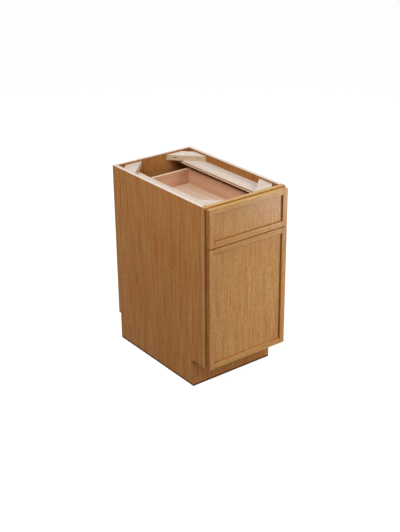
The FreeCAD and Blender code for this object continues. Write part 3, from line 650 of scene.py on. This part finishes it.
def screw_in_place(points):
    """One screw along the axis of its solid, with the solid's length, head and shank."""
    low, high = extent(points)
    spans = [top - bottom for bottom, top in zip(low, high)]
    axis = spans.index(max(spans))
    radii = {level: radius_at_end(points, axis, level) for level in (low[axis], high[axis])}
    head_level = max(radii, key=radii.get)
    outward = Vector((0, 0, 0))
    outward[axis] = 1.0 if head_level == high[axis] else -1.0
    head_place = Vector(halfway(low, high))
    head_place[axis] = head_level
    mesh = screw_mesh(spans[axis], max(radii.values()), min(radii.values()))
    mesh.transform(standing(head_place, outward))
    return mesh


def merged(name, meshes):
    """One mesh made of several."""
    group = bmesh.new()
    for mesh in meshes:
        group.from_mesh(mesh)
        bpy.data.meshes.remove(mesh)
    return mesh_of(group, name)


def screws(node, body, material):
    """All the screws of a node."""
    mesh = merged(f"{node}_made", map(screw_in_place, loose_parts(node)))
    mesh.materials.append(material)
    shade_round(mesh, sharp_from=40)
    add_piece(f"{node}_made", mesh, body, [node])


screw_zinc = plated("screw_zinc", (190, 186, 176), smooth=0.28, rough=0.46, cloud=0.003)
# Painted shade: a dark copy of the plating for screw heads that sit in shaded pockets.
zinc_painted_shade = plated("zinc_painted_shade", (112, 98, 82), smooth=0.42, rough=0.60, cloud=0.003)
screws("brace_screws", "carcass", zinc_painted_shade)
for node in ("cleat_screws", "back_panel_screws"):
    screws(node, "carcass", screw_zinc)


# Drawer box: lacquered solid beech, 13 mm thick. The sides are dovetailed into the front and the back, and
# the box is left in its natural pinkish colour. The upper edges of the front and the back are painted
# paler, a painted highlight of the light from above.
CLOSE_ARRIS = 0.0003


def beech(name, light, deep, streak):
    """Plain beech under clear lacquer, with short flecks and darker sawn ends."""
    material, tree, shader = new_material(name)
    bands, streaks, mottle, flecks = grain_of(
        tree, board_place(tree), band_width=0.03, streak=(0.006, 0.3), pore_length=0.0025, waver=0.02,
    )
    ends = marked(tree, "end_grain")
    colour = mix(tree, remap(tree, bands, 0.3, 0.7), tone(*light), tone(*deep))
    colour = mix(tree, remap(tree, streaks, 0.45, 0.75, to_high=0.6), colour, tone(*streak))
    colour = mix(tree, maths(tree, "MULTIPLY", flecks, 0.3), colour, tone(160, 104, 74))
    colour = mix(tree, maths(tree, "MULTIPLY", ends, 0.4), colour, tone(170, 118, 86))
    join(tree, shader, colour, remap(tree, mottle, 0.2, 0.8, 0.40, 0.55), streaks, depth=0.0001)
    shader.inputs["Specular IOR Level"].default_value = 0.12
    return material


drawer_wood = beech("drawer_beech", light=(213, 172, 141), deep=(202, 156, 123), streak=(186, 136, 104))
# Painted highlight: a paler copy of the beech for the upper and lower edges of the front and the back.
drawer_edge_highlight = beech(
    "drawer_beech_painted_highlight", light=(246, 216, 190), deep=(238, 204, 174), streak=(222, 180, 148),
)
box_side_finishes = (drawer_wood,) * 3
box_end_finishes = (drawer_wood, drawer_edge_highlight, drawer_wood)
for side in ("left", "right"):
    board(f"drawer_{side}_side", "drawer", Y, X, box_side_finishes, arris=CLOSE_ARRIS)
for end in ("front", "back"):
    board(f"drawer_box_{end}", "drawer", X, Y, box_end_finishes, arris=CLOSE_ARRIS)


# Drawer bottom: a sheet of lacquered plywood, let into a groove round the inside of the box. Its veneer is
# painted paler at the front left as painted light, and stays darker at the right rear, as painted shade.
drawer_floor = peeled_veneer(
    "drawer_bottom_plywood", light=(218, 189, 161), deep=(207, 173, 143), line=(190, 149, 118),
    pore=(165, 120, 88), ring_share=0.35, smooth=0.38, rough=0.5,
    ring_sizes={"Ring Width": 0.07, "Ring Length": 2.4, "Rings Across": 7.0},
)


def paint_light_on_left(material, paler, slant, full_at, ends_at):
    """Paint the wood paler on the left by three factors, as painted light, up to a slanting line."""
    tree = material.node_tree
    base = tree.nodes["Principled BSDF"].inputs["Base Color"]
    base_colour = base.links[0].from_socket
    place = put(tree, "SeparateXYZ", {0: cabinet_place(tree)})
    to_right = maths(tree, "ADD", place.outputs[X], maths(tree, "MULTIPLY", place.outputs[Y], slant))
    share = remap(tree, to_right, full_at, ends_at, 1.0, 0.0)
    tree.links.new(mix(tree, share, base_colour, (*paler, 1.0), "MULTIPLY"), base)


# Painted light at the front left of the drawer bottom, so that its right rear stays darker as if in shade.
paint_light_on_left(drawer_floor, paler=(1.21, 1.40, 1.56), slant=0.3, full_at=0.095, ends_at=0.165)
bottom_finishes = (drawer_floor, panel_edge, panel_edge)
board("drawer_bottom", "drawer", Y, Z, bottom_finishes, arris=CLOSE_ARRIS)


# Drawer front: two stiles and two rails round a flat panel that sits back from their faces. It is stained
# and lacquered like the frame, and screwed on from inside the box.
EASED_ARRIS = 0.0011
stained_front = stained(
    "stained_front_wood", light=(208, 162, 98), deep=(198, 150, 86), red=(194, 120, 64), pore=(128, 82, 42),
    smooth=0.26, rough=0.38, shine=0.17,
)
# Painted shade: a darker copy of the front's stain for edges that face sideways and into the recess.
shaded_edge = stained(
    "front_edges_painted_shade", light=(184, 128, 76), deep=(176, 118, 67), red=(162, 95, 48), pore=(112, 64, 32),
    smooth=0.46, rough=0.62, shine=0.05,
)


def recessed_panel(node):
    """A panel's solid, with a margin round its face darkened by settled stain and painted shade."""
    shade_width, looks_forward = 0.0035, -0.9
    solid = cad_solid(node)
    shade_mark = solid.verts.layers.float.new("painted_shade")
    forward = [face for face in solid.faces if face.normal.y < looks_forward]
    front_face = max(forward, key=lambda face: face.calc_area())
    for corner in front_face.verts:
        corner[shade_mark] = 1.0
    bmesh.ops.inset_region(solid, faces=[front_face], thickness=shade_width, use_even_offset=True)
    for corner in front_face.verts:
        corner[shade_mark] = 0.0
    return solid


def five_piece_front(front, body, top_edge):
    """One front: stiles and rails with the grain along them, and a panel with upright grain."""
    # The stiles' side edges and recess walls take painted shade. The top edges take the finish that is
    # given.
    front_stile_finishes = (stained_front, shaded_edge, top_edge)
    for side in ("left", "right"):
        board(f"{front}_{side}_stile", body, Z, Y, front_stile_finishes, arris=EASED_ARRIS)
    for rail, edge in (("top", top_edge), ("bottom", stained_frame)):
        front_rail_finishes = (stained_front, edge, edge)
        board(f"{front}_{rail}_rail", body, X, Y, front_rail_finishes, arris=EASED_ARRIS)
    panel_wood = (stained_front,) * 3
    panel_solid = recessed_panel(f"{front}_panel")
    board(f"{front}_panel", body, Z, Y, panel_wood, solid=panel_solid)


# The drawer front's top edges take the painted highlight.
five_piece_front("drawer_front", "drawer", edge_highlight)
screws("drawer_front_screws", "drawer", screw_zinc)


# Bumpers: small domes of clear rubber on the back of a front, where it meets the frame. They are stuck on
# and keep the front from knocking.
def clear_rubber(name):
    """Clear rubber with a faint cloudy bloom."""
    material, tree, shader = new_material(name)
    bloom = spots(tree, cabinet_place(tree), 0.0015, 0.0015, 3.0, 0.6)
    colour = mix(tree, remap(tree, bloom, 0.3, 0.7), tone(226, 226, 222), tone(206, 206, 202))
    join(tree, shader, colour, remap(tree, bloom, 0.2, 0.8, 0.32, 0.5), bloom, depth=0.00003)
    return material


rubber = clear_rubber("clear_rubber")


def dome_in_place(points):
    """One pad that fills the box of its solid. Its dome looks back toward the frame."""
    low, high = extent(points)
    radius, thickness = (high[X] - low[X]) / 2, high[Y] - low[Y]
    around = 24
    profile = [(1.0, 0.0), (1.0, 0.45), (0.94, 0.68), (0.78, 0.86), (0.5, 0.97), (0.2, 1.0)]
    dome = bmesh.new()
    rings = [ring(dome, even(share * radius), level * thickness, around) for share, level in profile]
    for lower, upper in zip(rings, rings[1:]):
        bridge(dome, upper, lower)
    dome.faces.new(rings[-1])
    dome.faces.new(rings[0][::-1])
    bmesh.ops.recalc_face_normals(dome, faces=dome.faces)
    foot = Vector(halfway(low, high))
    foot.y = low[Y]
    mesh = mesh_of(dome, "dome")
    mesh.transform(standing(foot, Vector((0, 1, 0))))
    return mesh


def bumpers(node, body):
    """All the pads of a node."""
    mesh = merged(f"{node}_made", map(dome_in_place, loose_parts(node)))
    mesh.materials.append(rubber)
    shade_round(mesh)
    add_piece(f"{node}_made", mesh, body, [node])


bumpers("drawer_front_bumpers", "drawer")


# Drawer slides: three rolled channels of black-coated steel on each side, which run on steel balls. The
# outer one is screwed to the cleat and the inner one to the drawer box.
def black_coat(name):
    """A black coating with a fine orange peel, rubbed grey along the travel."""
    material, tree, shader = new_material(name)
    place = cabinet_place(tree)
    orange_peel = spots(tree, place, 0.0012, 0.0012)
    rubbing = spots(tree, place, 0.0011, 0.16, 3.0, 0.7)
    rubbed = remap(tree, rubbing, 0.55, 0.75, to_high=0.35)
    colour = mix(tree, rubbed, tone(30, 30, 31), tone(84, 84, 84))
    join(tree, shader, colour, remap(tree, rubbing, 0.3, 0.8, 0.36, 0.58), orange_peel, depth=0.00003)
    return material


slide_coat = black_coat("black_coat")


def channel(node, body):
    """A rolled channel with rounded bends."""
    bend = 0.0004
    solid = cad_solid(node)
    break_arrises(solid, bend)
    mesh = mesh_of(solid, f"{node}_rolled")
    mesh.materials.append(slide_coat)
    shade_round(mesh)
    piece = add_piece(f"{node}_rolled", mesh, body, [node])
    keep_flats(piece)


for side in ("left", "right"):
    channel(f"{side}_slide_outer_member", "carcass")
    channel(f"{side}_slide_middle_member", "slide_middle")
    channel(f"{side}_slide_inner_member", "drawer")
for node in ("outer_race_balls", "inner_race_balls"):
    finish_node(node, zinc)
screws("slide_outer_screws", "carcass", screw_zinc)
screws("slide_inner_screws", "drawer", screw_zinc)


# Door: stiles, rails and a flat panel, made and finished like the drawer front, except that its top edges
# take the darker painted shade of the side edges. It hangs on two concealed hinges at the left, and rubber
# bumpers meet the frame.
five_piece_front("door", "door", shaded_edge)
bumpers("door_bumpers", "door")


# Hinges: nickel-plated steel cups let into round bores in the door, with arms that are screwed to the edge
# of the frame's stile. A pin joins each cup to its arm.
nickel = plated("nickel_plate", (206, 202, 194), smooth=0.16, rough=0.30, cloud=0.008)
for hinge in ("upper", "lower"):
    finish_node(f"{hinge}_hinge_cup", nickel)
    finish_node(f"{hinge}_hinge_arm", nickel)
finish_node("hinge_pins", nickel)
screws("hinge_arm_screws", "carcass", screw_zinc)
screws("hinge_cup_screws", "door", screw_zinc)


# Studio: a pale floor that turns to white for the camera but keeps a faint shadow, and a white room. Large
# soft boxes stand at the right rear, high on the left and in front, and a small low one gives the fronts
# their sheen.
def seen(tree):
    """Whether a ray comes from the camera, straight or by way of gloss or glass."""
    path = put(tree, "LightPath").outputs
    indirect = maths(tree, "MAXIMUM", path["Is Glossy Ray"], path["Is Transmission Ray"])
    return maths(tree, "MAXIMUM", path["Is Camera Ray"], indirect)


def grey(level):
    """A grey of one linear level."""
    return (level, level, level, 1.0)


def floor_paint():
    """Paint that lights the cabinet from below as a grey, looks white and still shows the shadow."""
    bounce_grey, shadow_grey, glow_strength = 0.36, 0.3, 0.9
    material, tree, shader = new_material("floor_paint")
    tree.nodes.remove(shader)
    bounce = put(tree, "BsdfDiffuse", {"Color": grey(bounce_grey)}).outputs[0]
    shadow = put(tree, "BsdfDiffuse", {"Color": grey(shadow_grey)}).outputs[0]
    glow = put(tree, "Emission", {"Color": grey(1.0), "Strength": glow_strength}).outputs[0]
    white = put(tree, "AddShader", {0: shadow, 1: glow}).outputs[0]
    surface = put(tree, "MixShader", {0: seen(tree), 1: bounce, 2: white}).outputs[0]
    tree.links.new(surface, tree.nodes["Material Output"].inputs["Surface"])
    return material


FLOOR_RADIUS, FLOOR_DROP = 9.0, 0.0003
disc = bmesh.new()
bmesh.ops.create_circle(disc, cap_ends=True, radius=FLOOR_RADIUS, segments=64)
bmesh.ops.translate(disc, vec=(0, 0, -FLOOR_DROP), verts=disc.verts)
floor = bpy.data.objects.new("floor", mesh_of(disc, "floor"))
floor.data.materials.append(floor_paint())
scene.collection.objects.link(floor)

ROOM_LIGHT, WHITE = 0.26, 1.0
room = bpy.data.worlds.new("room")
room.use_nodes = True
backdrop = room.node_tree.nodes["Background"].inputs
backdrop["Color"].default_value = grey(1.0)
strength = remap(room.node_tree, seen(room.node_tree), 0.0, 1.0, ROOM_LIGHT, WHITE)
room.node_tree.links.new(strength, backdrop["Strength"])
scene.world = room


def soft_box(name, place, target, size, power):
    """A square soft box aimed at a point."""
    data = bpy.data.lights.new(name, "AREA")
    data.size = size
    data.energy = power
    lamp = bpy.data.objects.new(name, data)
    lamp.location = place
    lamp.rotation_euler = (Vector(target) - Vector(place)).to_track_quat("-Z", "Y").to_euler()
    scene.collection.objects.link(lamp)


soft_box("rear", place=(1.9, 1.8, 1.9), target=(0, 0, 0.4), size=1.4, power=20)
soft_box("left", place=(-1.4, -0.4, 2.9), target=(0, 0, 0.5), size=1.1, power=49)
soft_box("front", place=(1.0, -2.4, 2.2), target=(0, 0, 0.4), size=1.6, power=34)
soft_box("low_front", place=(1.05, -1.25, 0.27), target=(0.2, -0.3, 0.72), size=0.26, power=5.2)


# Camera: it stands off the left front corner and looks down on the open top, at the photograph's viewing
# angle. Its lens is worked out from a focal length in pixels of the tall side of the picture.
FOCAL_PIXELS, TALL_PIXELS = 1032, 532
azimuth, elevation, roll = math.radians(-37.04), math.radians(24.83), math.radians(-0.515)
distance, target = 4.095, Vector((0.0062, 0.0028, 0.3792))
back = Vector((
    math.sin(azimuth) * math.cos(elevation), -math.cos(azimuth) * math.cos(elevation), math.sin(elevation),
))
right = Vector((math.cos(azimuth), math.sin(azimuth), 0))
up = back.cross(right)
rolled_right = math.cos(roll) * right + math.sin(roll) * up
rolled_up = math.cos(roll) * up - math.sin(roll) * right
lens = bpy.data.cameras.new("camera")
lens.sensor_width = 36
lens.lens = lens.sensor_width * FOCAL_PIXELS / TALL_PIXELS
camera = bpy.data.objects.new("camera", lens)
turned = Matrix((rolled_right, rolled_up, back)).transposed().to_4x4()
camera.matrix_world = Matrix.Translation(target + distance * back) @ turned
scene.collection.objects.link(camera)
scene.camera = camera
